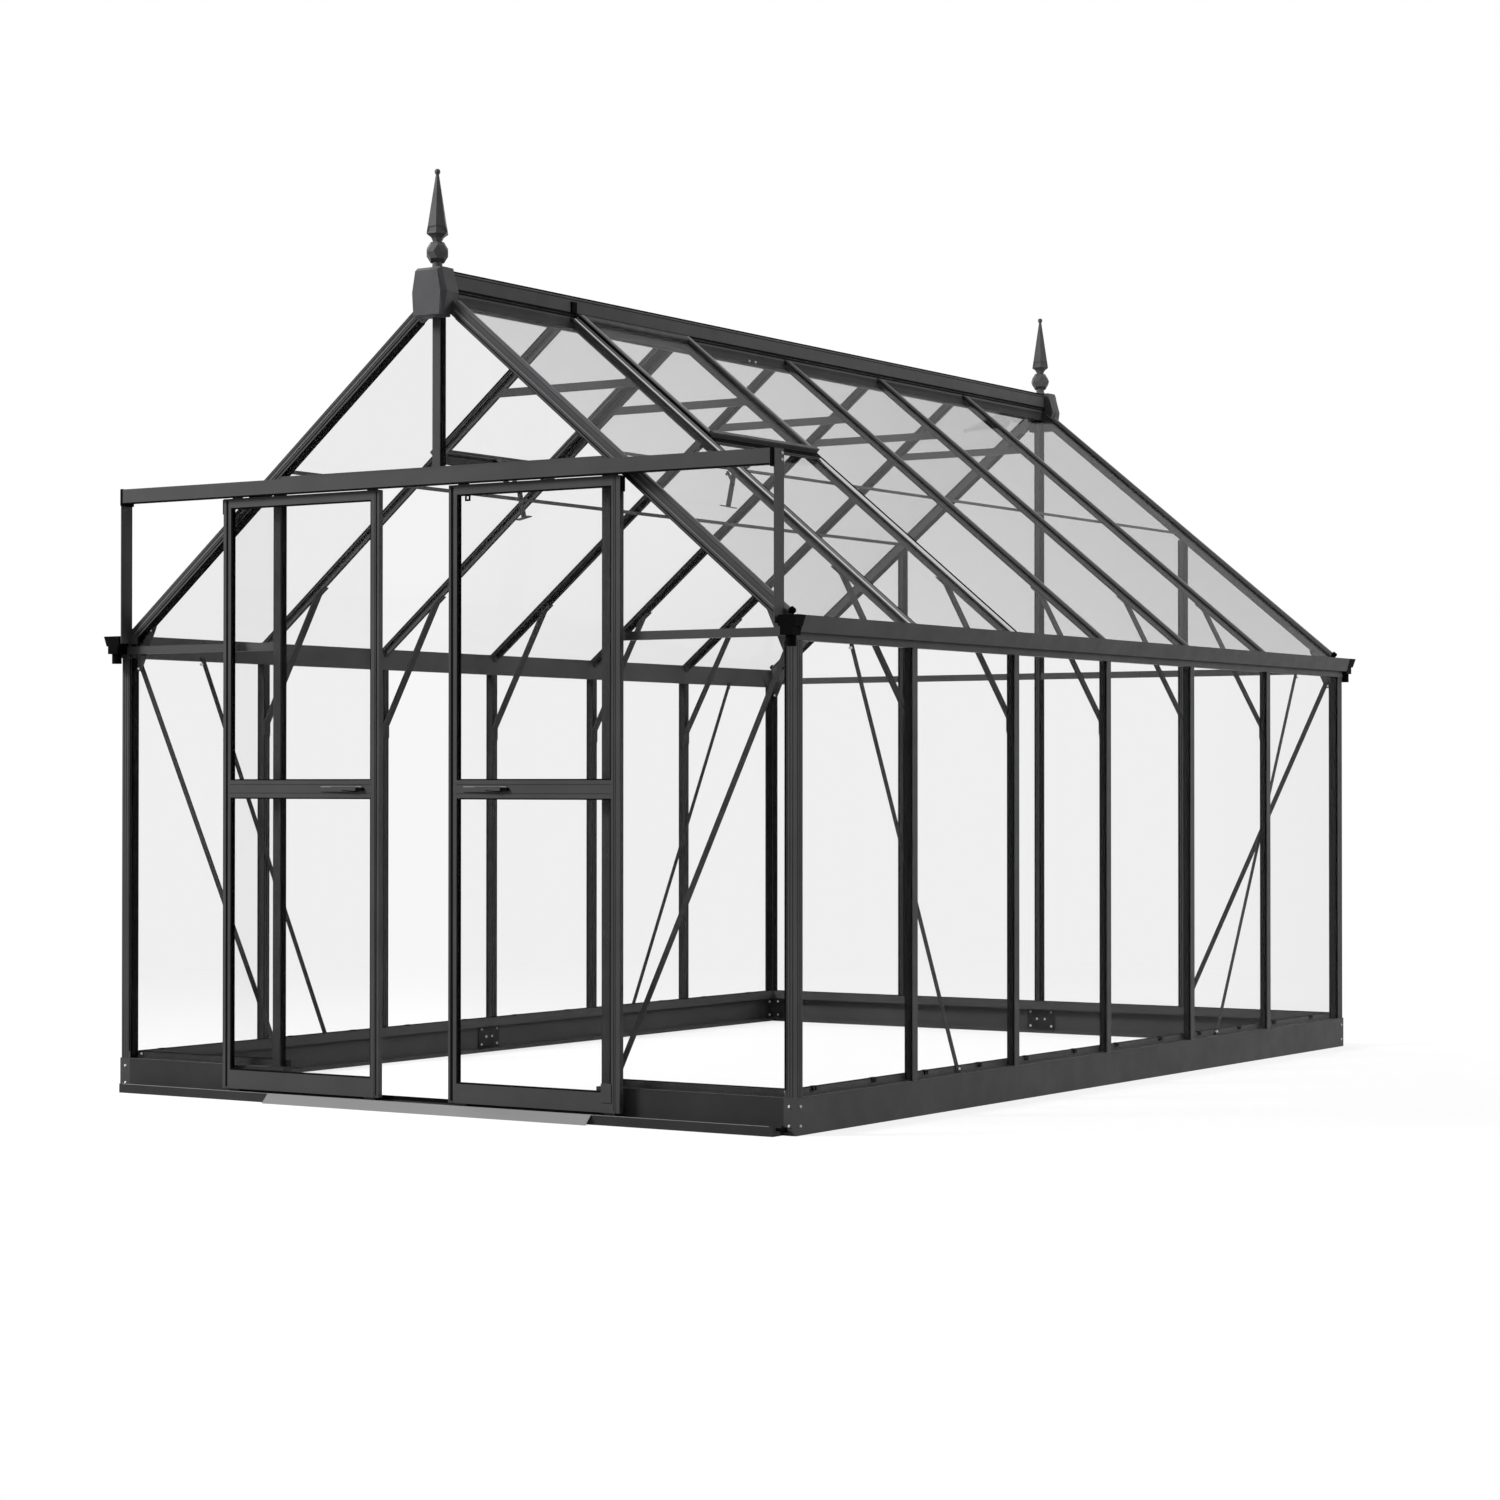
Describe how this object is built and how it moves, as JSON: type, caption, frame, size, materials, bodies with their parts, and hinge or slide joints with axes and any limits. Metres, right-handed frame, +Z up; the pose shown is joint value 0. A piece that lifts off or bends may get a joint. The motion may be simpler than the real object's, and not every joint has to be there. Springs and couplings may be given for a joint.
{
  "type": "glass greenhouse",
  "caption": "Aluminium-framed glass greenhouse with a pitched roof, eave gutters, ridge finials, closed roof vents and a pair of sliding doors on a low base.",
  "frame": {"origin": "middle of the outline at ground level", "axes": "+Z up, +Y from the door end to the rear along the ridge, +X to the right across the front"},
  "size_m": [2.558, 3.881, 2.7592],
  "materials": {
    "anthracite_aluminium": "satin powder coat",
    "base_steel": "satin powder coat",
    "black_plastic": "moulded",
    "nylon": "moulded",
    "mill_aluminium": "mill",
    "wall_glass": "clear",
    "roof_glass": "clear"
  },
  "bodies": {
    "house": {"base_sides": "base_steel", "base_front": "base_steel", "base_rear": "base_steel", "base_splice_plates": "base_steel", "corner_posts": "anthracite_aluminium", "left_wall_posts": "anthracite_aluminium", "right_wall_posts": "anthracite_aluminium", "rear_wall_posts": "anthracite_aluminium", "door_posts": "anthracite_aluminium", "front_king_post": "anthracite_aluminium", "front_cross_bars": "anthracite_aluminium", "rear_cross_bars": "anthracite_aluminium", "left_eave_gutter": "anthracite_aluminium", "right_eave_gutter": "anthracite_aluminium", "gutter_end_caps": "black_plastic", "ridge_beam": "anthracite_aluminium", "ridge_end_covers": "black_plastic", "finials": "black_plastic", "left_rafters": "anthracite_aluminium", "right_rafters": "anthracite_aluminium", "gable_rafters": "anthracite_aluminium", "collar_ties": "anthracite_aluminium", "purlin_rails": "anthracite_aluminium", "knee_braces": "anthracite_aluminium", "wall_braces": "anthracite_aluminium", "gusset_plates": "anthracite_aluminium", "door_header": "anthracite_aluminium", "header_end_posts": "anthracite_aluminium", "lower_track": "anthracite_aluminium", "threshold_ramp": "mill_aluminium", "left_wall_glass": "wall_glass", "right_wall_glass": "wall_glass", "rear_wall_glass": "wall_glass", "front_wall_glass": "wall_glass", "left_roof_glass": "roof_glass", "right_roof_glass": "roof_glass", "vent_frames": "anthracite_aluminium", "vent_glass": "roof_glass", "vent_sills": "anthracite_aluminium", "vent_stays": "black_plastic"},
    "left_door": {"left_door_stiles": "anthracite_aluminium", "left_door_rails": "anthracite_aluminium", "left_door_glass": "wall_glass", "left_door_handle": "anthracite_aluminium", "left_door_runners": "nylon"},
    "right_door": {"right_door_stiles": "anthracite_aluminium", "right_door_rails": "anthracite_aluminium", "right_door_glass": "wall_glass", "right_door_handle": "anthracite_aluminium", "right_door_runners": "nylon"}
  },
  "joints": [
    {"name": "left_door_slide", "type": "slide", "parent": "house", "child": "left_door", "axis": [-1, 0, 0], "range_m": [-0.18, 0.395]},
    {"name": "right_door_slide", "type": "slide", "parent": "house", "child": "right_door", "axis": [1, 0, 0], "range_m": [-0.074, 0.5]}
  ]
}
